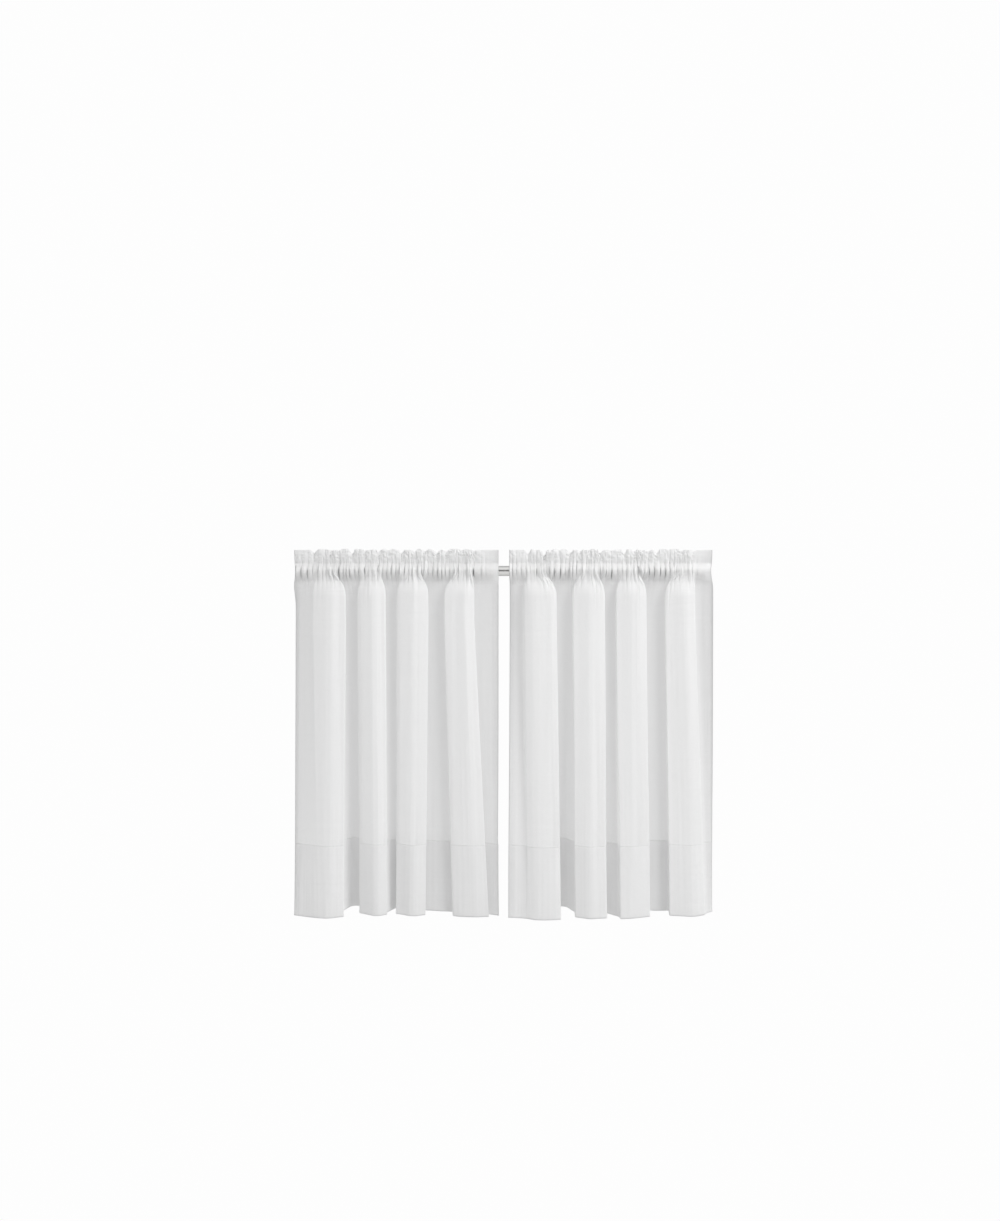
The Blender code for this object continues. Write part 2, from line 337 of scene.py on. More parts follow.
# The heading's puffs
HEADING_LEAN = 5 * MM  # how far its top leans out into the room
HEADING_RISE = 2.5 * MM  # how far its top edge stands higher here and there
RISES = 5.3  # of them, across one tier
FIRST_RISE = 0.2  # how much of one has passed at the left edge
LEVEL_TO, RISING_FROM = 40 * MM, 90 * MM  # in from a side edge, which itself stays level
TOP_EDGE_CURVE = 1.3  # how late on the way up the rises and the notches set in
NOTCH_REACH = 11 * MM  # how far a puff's shoulder comes up out of a notch, along the rod
NOTCH_SHARPNESS = 1.8
NOTCH_PINCH = 0.55  # how far the cloth lies back in a notch, as a share of the notch's depth
PUFF_SWELL = 2.2 * MM  # how far the two layers swell apart
FLAT_SWELL = 0.4  # share of that swell where the cloth isn't pushed together
CRUMPLE = 2.6 * MM  # how far its small creases stand out
CRUMPLES = Drift(1, 9 * MM, 6.5 * MM, 12)
CRUMPLE_RISE = 0.6  # of half a wave, so that they are deepest near the top

# The hems
SIDE_HEM = 10 * MM
SIDE_HEM_ROOM = 3 * SIDE_HEM  # in from the edge, over which the cloth makes room for the hem
SIDE_LAYER = 0.5 * MM
SIDE_LAYERS = 2  # turned in behind the face
HEM_GAP = 1.6 * MM  # between the bottom hem's front and its back
HEM_DRIFT = Drift(0.8 * MM, 60 * MM, None, 9)  # how far its edge strays from level
PUCKER = Drift(0.15 * MM, 4 * MM, None, 6)
PUCKER_REACH = 6 * MM
FOLD_PROUD = 0.35 * MM  # how far the cloth stands out just above the hem's top fold
STITCHES_SUNK = 0.45 * MM  # and how far it is drawn in just below, at the stitches
FOLD_TO_STEP = 1.5 * MM
STEP_REACH = 1.3 * MM
EDGE_SHADE = 0.25  # how much darker a fold's edge is painted: painted shade along it
EDGE_SHADE_REACH = 1.5 * MM


def eased(value, low, high):
    """0 below low and 1 above high, with a smooth step between."""
    share = np.clip((value - low) / (high - low), 0, 1)
    return share * share * (3 - 2 * share)


def bell(value, reach, power=2):
    """1 where the value is 0, and less the further it is from 0: about a third at the reach."""
    return np.exp(-((value / reach) ** power))


KNOTS = 256  # in one random line
KNOTS_BEFORE = 2  # the cloth's left edge


def wander(along, spacing, seed):
    """A smooth line from -1 to 1 that turns at random about once in each spacing."""
    place = np.asarray(along) / spacing + KNOTS_BEFORE
    knots = np.random.default_rng(seed).uniform(-1, 1, KNOTS)
    before = np.floor(place).astype(int)
    share = eased(place - before, 0, 1)
    return knots[before] * (1 - share) + knots[before + 1] * share


SEEDS_APART = 1000  # from one random line to the next one down the cloth


def drift(tier, kind, along, down=0.0):
    """How far the cloth strays by chance, at each place along it and so far down it."""
    seed = tier.seed + kind.line
    if kind.down is None:
        return kind.size * wander(along, kind.along, seed)
    place = down / kind.down
    first = int(place)
    share = eased(place - first, 0, 1)
    above = wander(along, kind.along, seed + SEEDS_APART * first)
    below = wander(along, kind.along, seed + SEEDS_APART * (first + 1))
    return kind.size * (above * (1 - share) + below * share)


def lengths_along(turns):
    """Length of cloth from the first turn to each one, at the hem."""
    steps = [math.hypot(b.hem_x - a.hem_x, b.hem_y - a.hem_y) for a, b in zip(turns, turns[1:])]
    return np.cumsum([0.0] + steps) * MM


def rounded(along, lengths, values, radius):
    """The line through values, with its corners eased over a radius along the cloth."""
    offsets = np.linspace(-1, 1, EASING_STEPS)
    weights = np.cos(offsets * math.pi / 2) ** 2
    weights /= weights.sum()
    first, last = lengths[0], lengths[-1]
    line = 0
    for offset, weight in zip(offsets, weights):
        place = along + offset * radius
        inside = np.interp(place, lengths, values)
        before = np.minimum(place - first, 0) * (values[1] - values[0]) / (lengths[1] - first)
        after = np.maximum(place - last, 0) * (values[-1] - values[-2]) / (last - lengths[-2])
        line = line + weight * (inside + before + after)
    return line


def pleats_at(tier, height, share):
    """Where the pleated cloth lies in plan at one height, for each share of its width."""
    lengths = lengths_along(tier.turns)
    down = min(max((PLEATS_FULL - height) / (PLEATS_FULL - HEM_EDGE), 0), 1)
    across = np.array([turn.top_x + down * (turn.hem_x - turn.top_x) for turn in tier.turns]) * MM
    behind = np.array([turn.top_y + down * (turn.hem_y - turn.top_y) for turn in tier.turns]) * MM
    along = share * lengths[-1]
    edges = [turn.place.endswith(("left", "right")) for turn in tier.turns]
    radius = np.interp(along, lengths, np.where(edges, SHARP_TURN, SOFT_TURN))
    return rounded(along, lengths, across, radius), rounded(along, lengths, behind, radius)


def on_crown(pleat_y):
    """1 where a pleat stands out into the room and 0 where it is set back."""
    return eased(-pleat_y, -SET_BACK, STOOD_OUT)


def at_pleat(value, crown):
    """A value of the pleats, where crown is 0 in a recess and 1 on a crown."""
    return value.recess + (value.crown - value.recess) * crown


def along_rod(turns):
    """Where the cloth of each turn sits along the rod: a crown's sides are drawn in to its middle."""
    crowns = {}
    for turn in turns:
        crowns.setdefault(turn.place[:len("crown 1")], []).append(turn.top_x)
    across = []
    for turn in turns:
        middle = np.mean(crowns[turn.place[:len("crown 1")]])
        drawn = CROWN_DRAWN_IN if turn.place.startswith("crown") else 0
        across.append(turn.top_x + drawn * (middle - turn.top_x))
    return np.maximum.accumulate(across)


def gathered_across(tier, share):
    """Where each share of the width sits along the rod, closer together above a crown."""
    lengths = lengths_along(tier.turns)
    across = along_rod(tier.turns)
    x = rounded(share * lengths[-1], lengths, across, GATHER_SPREAD)
    low, high = rounded(lengths[[0, -1]], lengths, across, GATHER_SPREAD)
    place = EVENLY * share + (1 - EVENLY) * (x - low) / (high - low)
    return (tier.left_edge + place * (tier.right_edge - tier.left_edge)) * MM


def from_edge(share):
    """How far each share of the width lies in from the nearer side edge."""
    return np.minimum(share, 1 - share) * CUT_WIDTH


GATHER_STEP = 0.01  # of the width, either side of a place where the gathering is measured


def pushed_together(tier, share):
    """How far the cloth is pushed together on the rod, from 0 where it lies flat to 1."""
    before, after = (gathered_across(tier, share + step) for step in (-GATHER_STEP, GATHER_STEP))
    flatness = np.clip((after - before) / (2 * GATHER_STEP) / CUT_WIDTH, 0, 1)
    least = LEAST_GATHERED * eased(from_edge(share), FLAT_TO, GATHERED_FROM)
    return np.maximum(np.sqrt(1 - flatness**2), least)


def pocket_stand(height):
    """How far the pocket's inner face stands off the rod's plane, like a line drawn over it."""
    above = math.acos(POCKET_RADIUS / HEADING_SEAM)
    below = math.acos(POCKET_RADIUS / -POCKET_SEAM)
    if height > POCKET_RADIUS * math.cos(above):
        return (HEADING_SEAM - height) / math.tan(above)
    if height < -POCKET_RADIUS * math.cos(below):
        return (height - POCKET_SEAM) / math.tan(below)
    return math.sqrt(POCKET_RADIUS**2 - height**2)


def front_of_pocket(height, stand, pleat_y):
    """Where the cloth lies behind the rod's axis as it leaves the pocket's front for the pleats."""
    crown = on_crown(pleat_y)
    deep = eased(PLEATS_START - height, 0, at_pleat(PLEATS_DEEP_IN, crown))
    lower = (height - PLEATS_START) / (POCKET_SEAM - PLEATS_START)
    held = stand + SEAM_FORWARD * min(lower, math.exp(1 - lower))
    held = max(held, POCKET_RADIUS * (1 - eased(-height, SLACK_FROM, SLACK_TO)))
    return deep * pleat_y - (1 - deep) * (crown * POCKET_RADIUS + (1 - crown) * held)


# One row of the cloth across its width.
#   stand: how far it lies from the rod's plane, + towards the room
#   clear: 1 or -1 where the gathers only stand off further to the front or to the back
#   behind: share of the bottom hem's gap by which the layer lies behind the front one
#   reverse: 1 if the cloth's reverse side faces back, -1 if it faces the room
Row = namedtuple("Row", "height stand clear behind reverse")


def plan(tier, row, share):
    """Where the cloth of a row lies across and behind the rod's axis, before it is gathered."""
    wide = 1 - bell(max(PLEATS_START - row.height, 0), PLEATS_WIDE_IN)
    gathered_x = gathered_across(tier, share) * (1 - POCKET_DRAWN_IN * abs(row.clear))
    pleat_x, pleat_y = pleats_at(tier, row.height, share)
    x = gathered_x + wide * (pleat_x - gathered_x)
    if row.height > PLEATS_START:
        return x, 0 * x - row.stand
    if row.stand >= 0:
        return x, front_of_pocket(row.height, row.stand, pleat_y)
    seam = front_of_pocket(POCKET_SEAM, LAYER_GAP / 2, pleat_y) + LAYER_GAP
    down = 1 - (row.height - POCKET_SEAM) / (PLEATS_START - POCKET_SEAM)
    return x, seam - (1 - down**POCKET_BACK_CURVE) * (row.stand + seam)


def up_heading(height):
    """How far up the heading a height is, from 0 at its seam to 1 at its top."""
    return min(max((height - HEADING_SEAM) / (HEADING_TOP - HEADING_SEAM), 0), 1)


def pinch_and_shade_between(height, depth, hollow, crown, strayed):
    """How tightly the cloth is pinched between two gathers, with its painted shade: hollow is 1
    midway between them.
    """
    pinch_and_shade = np.clip(depth / PINCHED_DEPTH, 0, 1) * hollow ** at_pleat(PINCH_THINNESS, crown)
    off_tightest = height - at_pleat(PINCHED_AT, crown) + strayed
    tight = bell(off_tightest, at_pleat(PINCH_REACH, crown), PINCH_END)
    # Painted shade that runs on down in streaks over the head of a crown
    streaks_of_shade = SHADE_STREAK * crown * bell(height - STREAK_AT, STREAK_REACH)
    return pinch_and_shade * np.maximum(tight, streaks_of_shade)


def gathers_at(tier, height, share, x, together):
    """The gathers of a row: their depth, how far the cloth stands out in them and bends over
    along the rod, and how tightly it is pinched, which also sets the painted shade between them."""
    along = share * CUT_WIDTH
    crown = on_crown(pleats_at(tier, height, share)[1])
    longer = ((1 + drift(tier, RUN_OUT_DRIFT, along)) / 2) ** 2
    run_out = RUN_OUT_LEAST + at_pleat(RUN_OUT_MORE, crown) * longer
    gone = max(RUN_OUT_FROM - height, 0) / run_out

    fullest = bell(height - FULLEST_AT + drift(tier, FULLEST_DRIFT, along), FULLEST_REACH)
    depth = GATHER_DEPTH * GATHER_PITCH * together * bell(gone, 1, RUN_OUT_CURVE)
    depth = depth * (LEAST_FULL + MORE_FULL * fullest)
    depth = depth * (1 - HEADING_FLATTER * up_heading(height) ** HEADING_FLATTER_CURVE)
    depth = depth * (GATHER_MEAN + drift(tier, GATHER_DRIFT, along))

    lean = drift(tier, LEAN, along) + drift(tier, FINE_LEAN, along)
    up = (height - POCKET_SEAM) / (HEADING_SEAM - POCKET_SEAM)
    leant = along + lean * np.clip(up, LEAN_LEAST, LEAN_MOST)
    even = (x / MM - tier.left_edge) / (tier.right_edge - tier.left_edge) * CUT_WIDTH
    place = BY_CLOTH * leant + (1 - BY_CLOTH) * even
    wave = 2 * math.pi * place / GATHER_PITCH + drift(tier, WAVE_DRIFT, leant)

    ridge = np.abs(np.cos(wave / 2))
    flatter = CREST_FLATTER * crown * bell(height - FULLEST_AT, CREST_FLAT_REACH)
    crest = CREST_SHARE * (1 - flatter) * (2 * ridge**CREST_CURVE - 1)
    out = depth * (crest + drift(tier, CREASES, leant))
    slide = GATHER_BEND * GATHER_PITCH * together * np.exp(-gone) * np.sin(wave)
    pinch_and_shade = pinch_and_shade_between(height, depth, 1 - ridge, crown, drift(tier, PINCH_DRIFT, along))
    return depth, out, slide, pinch_and_shade


def notched(tier, x):
    """How far down the heading's top edge dips, at each place along the rod."""
    dip = 0 * x
    for notch in tier.notches:
        near = np.clip(1 - np.abs(x - notch.across * MM) / NOTCH_REACH, 0, 1)
        dip = np.maximum(dip, notch.deep * MM * near**NOTCH_SHARPNESS)
    return dip


def heading_at(tier, height, share, x, together):
    """The heading's puffs on a row: how far the cloth stands out and is lifted, and how far its
    two layers swell apart."""
    up = up_heading(height)
    dip = notched(tier, x)
    rise = np.abs(np.sin(math.pi * (RISES * share + FIRST_RISE)))
    rise = rise * eased(from_edge(share), LEVEL_TO, RISING_FROM)
    lift = up**TOP_EDGE_CURVE * (HEADING_RISE * rise - dip)
    swell = PUFF_SWELL * math.sin(math.pi * up) * (FLAT_SWELL + (1 - FLAT_SWELL) * together)
    crumple = 1 - 2 * np.abs(drift(tier, CRUMPLES, share * CUT_WIDTH, height + CUT_LENGTH))
    crumple = CRUMPLE * crumple * math.sin(math.pi * up * CRUMPLE_RISE) * together
    out = HEADING_LEAN * up - NOTCH_PINCH * dip * math.sqrt(up) + crumple
    return out, lift, swell


def hung_out(tier, height, along, below):
    """How far the hanging cloth stands out in its soft ridges and at the bottom hem's top fold."""
    ridges = drift(tier, RIDGES, along, below) + drift(tier, FINE_RIDGES, along, below)
    out = ridges * (1 - math.exp(-below / RIDGES_FULL_IN))
    off_fold = height - HEM_SEAM
    out = out + drift(tier, PUCKER, along) * bell(off_fold, PUCKER_REACH)
    out = out + FOLD_PROUD * bell(off_fold - FOLD_TO_STEP, STEP_REACH)
    return out - STITCHES_SUNK * bell(off_fold + FOLD_TO_STEP, STEP_REACH)


PLAN_STEP = 0.001  # of the width, either side of a place where the cloth's direction is measured


def cloth_line(tier, row, share, aside=0.0):
    """Points along one row of the cloth, and at each how tightly it is pinched and how much painted
    shade it takes.

    aside counts the layers of a side hem that lie between the point and the cloth's face."""
    along = share * CUT_WIDTH
    below = max(POCKET_SEAM - row.height, 0)
    hanging = below / (POCKET_SEAM - HEM_EDGE)
    x, y = plan(tier, row, share)
    x0, y0 = plan(tier, row, share - PLAN_STEP)
    x1, y1 = plan(tier, row, share + PLAN_STEP)
    length = np.hypot(x1 - x0, y1 - y0)
    run_x, run_y = (x1 - x0) / length, (y1 - y0) / length

    together = pushed_together(tier, share)
    depth, gathered_out, slide, pinch_and_shade = gathers_at(tier, row.height, share, x, together)
    puffed_out, lift, swell = heading_at(tier, row.height, share, x, together)
    out = gathered_out + puffed_out + hung_out(tier, row.height, along, below)

    layer = SIDE_LAYER * (1 - eased(from_edge(share), SIDE_HEM, SIDE_HEM_ROOM))
    hem_room = SIDE_LAYERS * layer
    stand_off = row.reverse * swell + row.clear * (depth + hem_room)
    back = row.behind * (HEM_GAP + 2 * hem_room) + row.reverse * aside * SIDE_LAYER - out
    x = x + run_x * slide - run_y * back + hanging * drift(tier, SWAY_ACROSS, along, below)
    y = y + run_y * slide + run_x * back - stand_off
    y = y + hanging * drift(tier, SWAY_BACK, along, below)
    z = row.height + lift + hanging * drift(tier, HEM_DRIFT, along)

    # Inside the pocket the cloth stays off the rod
    if row.reverse and abs(row.height) < POCKET_RADIUS:
        off_rod = math.sqrt(POCKET_RADIUS**2 - row.height**2) + (SIDE_LAYERS - aside) * layer
        y = -row.reverse * np.maximum(-row.reverse * y, off_rod)

    # Painted shade along the side edges and along the bottom hem's lower fold
    painted_fold_shade = bell(from_edge(share), EDGE_SHADE_REACH) + bell(row.height - HEM_EDGE, EDGE_SHADE_REACH)
    return np.stack([x, y, z], axis=1), pinch_and_shade + EDGE_SHADE * painted_fold_shade


def between(first, last, count, closer=1.0):
    """count heights from just after first up to last, closer together near first."""
    return [first + (last - first) * (i / count) ** closer for i in range(1, count + 1)]


def hem_row(height, behind, reverse):
    """A row of the bottom hem, or of the single layer that hangs above it."""
    return Row(height, 0, 0, behind, reverse)


LAYERS_ONE_IN = 15 * MM  # this far below the pocket, its two layers are nearly down to one
GATHERS_EVEN_IN = 30 * MM  # and here its gathers stand out nearly as far to the back as to the front


def release_row(height):
    """A row just below the pocket."""
    below = POCKET_SEAM - height
    stand = LAYER_GAP / 2 * math.exp(-below / LAYERS_ONE_IN)
    return Row(height, stand, math.exp(-below / GATHERS_EVEN_IN), 0, 1)


def pocket_row(height, side):
    """A row of the pocket's front, where side is 1, or of its back, where side is -1."""
    stand = max(pocket_stand(height), LAYER_GAP / 2)
    clear = side * eased(pocket_stand(height), LAYER_GAP / 2, ROD_RADIUS)
    if height < 0:
        clear = 1 if side > 0 else 1 - 2 * eased(height, POCKET_SEAM, PLEATS_START)
    return Row(height, side * stand, clear, 0, side)


def heading_row(height, side):
    """A row of the heading's front or back."""
    return Row(height, side * LAYER_GAP / 2, 0, 0, side)


# The bottom hem's two folds, row by row: how far above the fold, in mm
Bend = namedtuple("Bend", "above behind reverse")
TOP_FOLD = [
    Bend(-4, 0.5, 0), Bend(-2, 0.5, 0), Bend(-0.7, 0.5, 0),
    Bend(0, 0.8, 0), Bend(-0.7, 1, -1), Bend(-2, 1, -1),
]
LOWER_FOLD = [
    Bend(0.4, 0.85, -1), Bend(0, 0.6, 0), Bend(1.2, 0.1, 1), Bend(3, -0.35, 1), Bend(5, -0.3, 1),
]
FOLD_BACK = 1.5 * MM  # the lower fold's height at the back
FOLD_FRONT = 9 * MM  # and at the front
ABOUT_SEAM = (-6, -3.5, -2, -1, 0, 1, 2, 3.5, 6)  # rows of the front about the hem's seam, in mm
SEAM_REACH = 10 * MM  # how far from the seam the rows start to lie further apart

# The fold over the heading's top: how far up and how far out, in gaps between its layers
Crest = namedtuple("Crest", "up out reverse")
HEADING_FOLD = [Crest(1 / 3, 0.3, 1), Crest(1 / 2, 0, 0), Crest(1 / 3, -0.3, -1)]

# The cloth's way from the raw edge inside the bottom hem, down the hem's back, up the front, over
# the top of the heading and down its back to the pocket's seam.
HEM_TOP = [hem_row(HEM_SEAM + bend.above * MM, bend.behind, bend.reverse) for bend in TOP_FOLD]
HEM_BACK = [hem_row(height, 1, -1)
            for height in between(HEM_TOP[-1].height, HEM_EDGE + FOLD_BACK, count=6, closer=1.4)]
HEM_FOLD = [hem_row(HEM_EDGE + bend.above * MM, bend.behind, bend.reverse) for bend in LOWER_FOLD]

front_heights = [HEM_EDGE + FOLD_FRONT]
front_heights += between(HEM_EDGE + FOLD_FRONT, HEM_SEAM - SEAM_REACH, count=7)
front_heights += [HEM_SEAM + above * MM for above in ABOUT_SEAM]
front_heights += [HEM_SEAM + SEAM_REACH]
front_heights += between(HEM_SEAM + SEAM_REACH, PLEATS_FULL, count=14)
release_heights = between(POCKET_SEAM, PLEATS_FULL, count=28, closer=1.6)[-2::-1]
pocket_heights = [POCKET_SEAM, *between(POCKET_SEAM, HEADING_SEAM, count=18)]
heading_heights = between(HEADING_SEAM, HEADING_TOP, count=17)

FRONT = [hem_row(height, 0, 1) for height in front_heights]
FRONT += [release_row(height) for height in release_heights]
FRONT += [pocket_row(height, 1) for height in pocket_heights]
FRONT += [heading_row(height, 1) for height in heading_heights]
TOP = [Row(HEADING_TOP + LAYER_GAP * crest.up, LAYER_GAP * crest.out, 0, 0, crest.reverse)
       for crest in HEADING_FOLD]
BACK = [heading_row(height, -1) for height in reversed(heading_heights)]
BACK += [pocket_row(height, -1) for height in reversed(pocket_heights)]
ROWS = HEM_TOP + HEM_BACK + HEM_FOLD + FRONT + TOP + BACK

# The cloth's way across, from the raw edge inside one side hem to that inside the other: how far
# in from the edge each column of points lies, in mm, and how many layers of the hem lie on its face
Fold = namedtuple("Fold", "inward layers")
TURNED_IN = [
    Fold(2, 1), Fold(5, 1), Fold(8, 1), Fold(9.7, 1.3), Fold(9.7, 1.7), Fold(8, 2), Fold(5, 2),
    Fold(2, 2), Fold(0.4, 2), Fold(-0.2, 1.5), Fold(-0.3, 1), Fold(-0.2, 0.5),
]
COLUMNS = 630  # between the side hems
inward = np.array([fold.inward for fold in TURNED_IN]) * MM / CUT_WIDTH
layers = np.array([fold.layers for fold in TURNED_IN])
shares = np.concatenate([inward, np.linspace(0, 1, COLUMNS + 1), 1 - inward[::-1]])
asides = np.concatenate([layers, np.zeros(COLUMNS + 1), layers[::-1]])


def add_object(name, mesh):
    """A mesh as an object of the scene."""
    item = bpy.data.objects.new(name, mesh)
    bpy.context.scene.collection.objects.link(item)
    return item


def make_tier(tier):
    """The cloth of one tier as a sheet, with a UV map in metres of flat cloth."""
    lines = [cloth_line(tier, row, shares, asides) for row in ROWS]
    points = np.array([line[0] for line in lines])
    rows, columns = points.shape[:2]
    index = np.arange(rows * columns).reshape(rows, columns)
    faces = np.stack([index[:-1, :-1], index[:-1, 1:], index[1:, 1:], index[1:, :-1]], axis=2)
    mesh = bpy.data.meshes.new(tier.name)
    mesh.from_pydata(points.reshape(-1, 3).tolist(), [], faces.reshape(-1, 4).tolist())

    middle = points[:, columns // 2]
    across = np.linspace(0, CUT_WIDTH + 2 * SIDE_LAYERS * SIDE_HEM, columns)
    down = np.concatenate([[0], np.cumsum(np.linalg.norm(np.diff(middle, axis=0), axis=1))])
    flat = np.stack(np.meshgrid(across, down), axis=2).reshape(-1, 2)
    corners = np.zeros(len(mesh.loops), int)
    mesh.loops.foreach_get("vertex_index", corners)
    mesh.uv_layers.new(name="cut").data.foreach_set("uv", flat[corners].ravel())
    # Each point's pinch, which thickens the voile there and also paints shade onto it
    pinch_and_shade = mesh.attributes.new("pinch_and_shade", "FLOAT", "POINT")
    pinch_and_shade.data.foreach_set("value", np.concatenate([line[1] for line in lines]))
    mesh.shade_smooth()
    return add_object(tier.name, mesh)


# Voile: fine polyester threads with small gaps between them, a few of them thicker than the rest.
THREAD_PITCH = 0.55 * MM
SLUBS = ((620, 5, 1), (5, 620, 1))  # thick places to the metre across and down, in warp and weft
THREAD_COVER = 0.93  # how much of the light the threads stop
OPENNESS = 0.8  # how much less of it the gaps between them stop
SLUB_COVER = 0.10  # how much more of it a thick place stops
SLUB_DEPTH = 0.2 * MM
SLUB_STRENGTH = 0.3
THIN_WHITE = (0.95, 0.95, 0.95, 1)
THICK_WHITE = (0.98, 0.98, 0.98, 1)
# The grey the cloth is painted towards where it is pinched and along its folds: painted shade
PAINTED_SHADE_GREY = (0.04, 0.04, 0.045, 1)
VOILE_ROUGHNESS = 0.85
LET_THROUGH = 0.4  # share of the light on a thread that comes out at its far side

voile, tree, shader, output = new_material("white_voile")
flat = add_node(tree, "ShaderNodeUVMap", uv_map="cut").outputs["UV"]
warp, weft = (grain(tree, flat, spots, detail=2.0) for spots in SLUBS)
slub = maths(tree, "ADD", warp, weft)
parts = add_node(tree, "ShaderNodeSeparateXYZ", {"Vector": flat}).outputs
gaps = []
for axis in ("X", "Y"):
    wave = maths(tree, "SINE", maths(tree, "MULTIPLY", parts[axis], 2 * math.pi / THREAD_PITCH))
    gaps.append(maths(tree, "MAXIMUM", wave, 0.0))
holes = maths(tree, "MULTIPLY", *gaps)
cover = maths(tree, "MULTIPLY_ADD", holes, -OPENNESS, THREAD_COVER)
uneven = maths(tree, "MULTIPLY_ADD", slub, SLUB_COVER, -SLUB_COVER)
cover = maths(tree, "ADD", cover, uneven, use_clamp=True)
pinch_and_shade = add_node(tree, "ShaderNodeAttribute", attribute_name="pinch_and_shade").outputs["Fac"]
cover = maths(tree, "ADD", cover, pinch_and_shade, use_clamp=True)
white = add_node(tree, "ShaderNodeMix", {
    "Factor": slub, "A": THIN_WHITE, "B": THICK_WHITE}, data_type="RGBA").outputs["Result"]
# Painted shade: the white is mixed towards grey where the cloth is pinched, in streaks over the
# crowns' heads and along its folds
tone = add_node(tree, "ShaderNodeMix", {
    "Factor": pinch_and_shade, "A": white, "B": PAINTED_SHADE_GREY}, data_type="RGBA").outputs["Result"]
bump = add_node(tree, "ShaderNodeBump", {
    "Height": slub, "Strength": SLUB_STRENGTH, "Distance": SLUB_DEPTH})
feed(tree, shader, {"Base Color": tone, "Roughness": VOILE_ROUGHNESS,
                    "Normal": bump.outputs["Normal"]})
passed = add_node(tree, "ShaderNodeBsdfTranslucent", {"Color": tone}).outputs["BSDF"]
clear = add_node(tree, "ShaderNodeBsdfTransparent").outputs["BSDF"]
threads = add_node(tree, "ShaderNodeMixShader", {
    0: LET_THROUGH, 1: shader.outputs["BSDF"], 2: passed}).outputs["Shader"]
sheer = add_node(tree, "ShaderNodeMixShader", {0: cover, 1: clear, 2: threads}).outputs["Shader"]
feed(tree, output, {"Surface": sheer})

cloths = []
for tier in TIERS:
    cloth = make_tier(tier)
    cloth.data.materials.append(voile)
    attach(cloth, "root")
    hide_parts(tier.name.replace("tier", "panel"))
    cloths.append(cloth)

# ================================================================================================
# The stitching
# White polyester thread, sewn in a plain lockstitch that shows on both faces of the cloth. One
# row holds the bottom hem, two close the pocket above and below the rod, and one runs down each
# side hem.
# ================================================================================================
STITCH_PITCH = 3 * MM
STITCH_LENGTH = 2.6 * MM
THREAD_WIDTH = 0.3 * MM
STITCH_PROUD = 0.1 * MM  # how far the middle of the thread lies off the face of the cloth
HEM_STITCH_DOWN = 1.5 * MM  # below the hem's top fold
SIDE_STITCH_IN = 8.5 * MM  # from the side edge
UNSEWN = 0.001  # of the width, at each end of a row
FACE_STEP = 0.0005  # of the width, either side of a stitch, where the cloth's face is measured
THREAD_WHITE = (0.9, 0.9, 0.9, 1)
THREAD_ROUGHNESS = 0.5
BEAD_SIDES = 6
BEAD_RINGS = 4

SEAMS = [hem_row(HEM_SEAM - HEM_STITCH_DOWN, 0, 1), hem_row(HEM_SEAM - HEM_STITCH_DOWN, 1, -1)]
SEAMS += [pocket_row(height, side) for height in (HEADING_SEAM, POCKET_SEAM) for side in (1, -1)]


def on_face(tier, row, shares, side, layers=0):
    """Points on one face of the cloth: side is 1 for its front and -1 for its back."""
    before, after = (cloth_line(tier, row, shares + step, layers)[0]
                     for step in (-FACE_STEP, FACE_STEP))
    run = after - before
    out = np.stack([run[:, 1], -run[:, 0], 0 * run[:, 0]], axis=1)
    out /= np.linalg.norm(out, axis=1, keepdims=True)
    return (before + after) / 2 + side * STITCH_PROUD * out


def sewn_lines(tier):
    """The lines that the needle follows, each as an array of points."""
    width = np.linspace(UNSEWN, 1 - UNSEWN, COLUMNS)
    lines = [on_face(tier, seam, width, seam.reverse) for seam in SEAMS]
    inset = SIDE_STITCH_IN / CUT_WIDTH
    for side, layers in ((1, 0), (-1, SIDE_LAYERS)):
        sides = np.array([on_face(tier, row, np.array([inset, 1 - inset]), side, layers)
                          for row in FRONT])
        lines += [sides[:, 0], sides[:, 1]]
    return lines


def make_stitch_tree():
    """A node tree that turns each line of a mesh's edges into a row of stitches."""
    tree = bpy.data.node_groups.new("row of stitches", "GeometryNodeTree")
    tree.interface.new_socket("Lines", in_out="INPUT", socket_type="NodeSocketGeometry")
    for name in ("Stitch Pitch", "Stitch Length", "Thread Width"):
        tree.interface.new_socket(name, in_out="INPUT", socket_type="NodeSocketFloat")
    tree.interface.new_socket("Thread", in_out="INPUT", socket_type="NodeSocketMaterial")
    tree.interface.new_socket("Stitches", in_out="OUTPUT", socket_type="NodeSocketGeometry")
    given = tree.nodes.new("NodeGroupInput").outputs
    curve = add_node(tree, "GeometryNodeMeshToCurve", {"Mesh": given["Lines"]}).outputs["Curve"]
    places = add_node(tree, "GeometryNodeResampleCurve", {
        "Curve": curve, "Length": given["Stitch Pitch"]}, mode="LENGTH").outputs["Curve"]
    along = add_node(tree, "GeometryNodeInputTangent").outputs["Tangent"]
    turned = add_node(tree, "FunctionNodeAlignRotationToVector", {
        "Vector": along}, axis="Z").outputs["Rotation"]
    bead = add_node(tree, "GeometryNodeMeshUVSphere", {
        "Segments": BEAD_SIDES, "Rings": BEAD_RINGS, "Radius": 0.5}).outputs["Mesh"]
    size = add_node(tree, "ShaderNodeCombineXYZ", {
        "X": given["Thread Width"], "Y": given["Thread Width"], "Z": given["Stitch Length"]})
    stitches = add_node(tree, "GeometryNodeInstanceOnPoints", {
        "Points": places, "Instance": bead, "Rotation": turned, "Scale": size.outputs["Vector"]})
    meshes = add_node(tree, "GeometryNodeRealizeInstances", {
        "Geometry": stitches.outputs["Instances"]}).outputs["Geometry"]
    sewn = add_node(tree, "GeometryNodeSetMaterial", {
        "Geometry": meshes, "Material": given["Thread"]}).outputs["Geometry"]
    tree.links.new(sewn, tree.nodes.new("NodeGroupOutput").inputs["Stitches"])
    return tree


